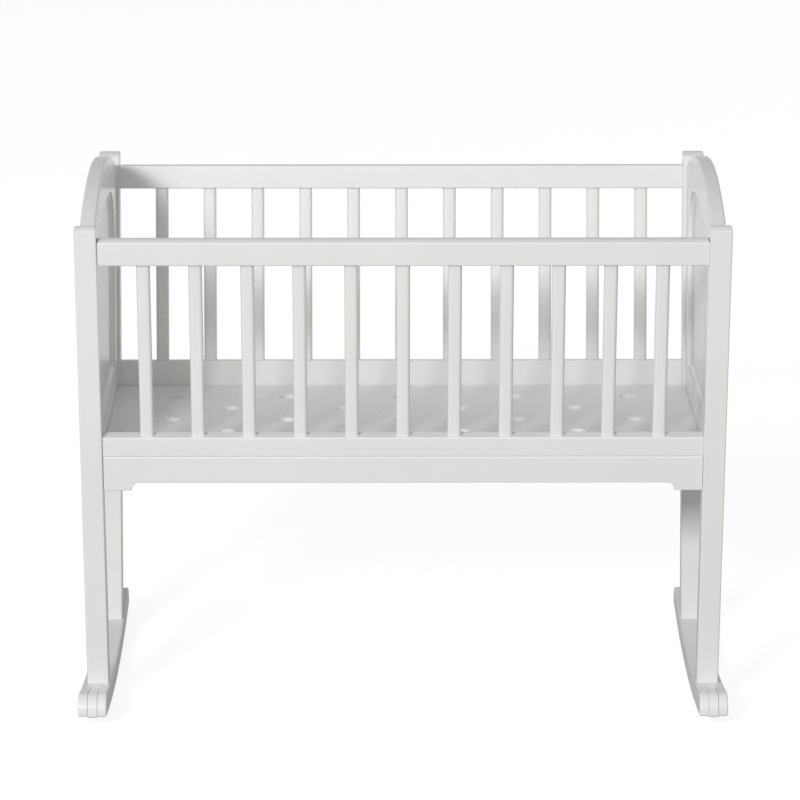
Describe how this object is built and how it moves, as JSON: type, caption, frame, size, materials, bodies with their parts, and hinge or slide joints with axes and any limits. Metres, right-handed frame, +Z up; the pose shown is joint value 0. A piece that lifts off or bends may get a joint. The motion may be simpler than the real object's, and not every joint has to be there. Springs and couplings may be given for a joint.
{
  "type": "baby cradle",
  "caption": "White wooden rocking cradle with flared slatted sides, arched panelled ends, a perforated base and curved rockers with folding stops.",
  "frame": {"origin": "centre of the cradle's footprint, on the floor under the middle of the rockers", "axes": "+X along the length of the cradle, +Y from the front side to the back side (the rocking direction), +Z up"},
  "size_m": [0.893, 0.5628, 0.7395],
  "materials": {
    "paint": "satin white paint over solid wood",
    "board": "satin white paint over board",
    "steel": "zinc plated"
  },
  "bodies": {
    "cradle": {"apron_back": "paint", "apron_front": "paint", "base_board": "board", "base_cleat_back": "paint", "base_cleat_front": "paint", "end_arch_left": "paint", "end_arch_right": "paint", "end_panel_left": "board", "end_panel_right": "board", "end_sill_left": "paint", "end_sill_right": "paint", "end_stile_left_back": "paint", "end_stile_left_front": "paint", "end_stile_right_back": "paint", "end_stile_right_front": "paint", "leg_screw_back_left": "steel", "leg_screw_back_right": "steel", "leg_screw_front_left": "steel", "leg_screw_front_right": "steel", "post_back_left": "paint", "post_back_right": "paint", "post_front_left": "paint", "post_front_right": "paint", "rail_lower_back": "paint", "rail_lower_front": "paint", "rail_top_back": "paint", "rail_top_front": "paint", "rocker_left": "paint", "rocker_right": "paint", "slat_back_01": "paint", "slat_back_02": "paint", "slat_back_03": "paint", "slat_back_04": "paint", "slat_back_05": "paint", "slat_back_06": "paint", "slat_back_07": "paint", "slat_back_08": "paint", "slat_back_09": "paint", "slat_back_10": "paint", "slat_back_11": "paint", "slat_front_01": "paint", "slat_front_02": "paint", "slat_front_03": "paint", "slat_front_04": "paint", "slat_front_05": "paint", "slat_front_06": "paint", "slat_front_07": "paint", "slat_front_08": "paint", "slat_front_09": "paint", "slat_front_10": "paint", "slat_front_11": "paint", "stop_pin_back_left": "steel", "stop_pin_back_right": "steel", "stop_pin_front_left": "steel", "stop_pin_front_right": "steel"},
    "stop_back_left": {"stop_back_left": "paint"},
    "stop_back_right": {"stop_back_right": "paint"},
    "stop_front_left": {"stop_front_left": "paint"},
    "stop_front_right": {"stop_front_right": "paint"}
  },
  "joints": [
    {"name": "stop_back_left_fold", "type": "hinge", "parent": "cradle", "child": "stop_back_left", "pos_m": [-0.427, 0.214, 0.02763], "axis": [-1, 0, 0], "range_deg": [0, 19]},
    {"name": "stop_back_right_fold", "type": "hinge", "parent": "cradle", "child": "stop_back_right", "pos_m": [0.427, 0.214, 0.02763], "axis": [-1, 0, 0], "range_deg": [0, 19]},
    {"name": "stop_front_left_fold", "type": "hinge", "parent": "cradle", "child": "stop_front_left", "pos_m": [-0.427, -0.214, 0.02763], "axis": [1, 0, 0], "range_deg": [0, 19]},
    {"name": "stop_front_right_fold", "type": "hinge", "parent": "cradle", "child": "stop_front_right", "pos_m": [0.427, -0.214, 0.02763], "axis": [1, 0, 0], "range_deg": [0, 19]}
  ]
}
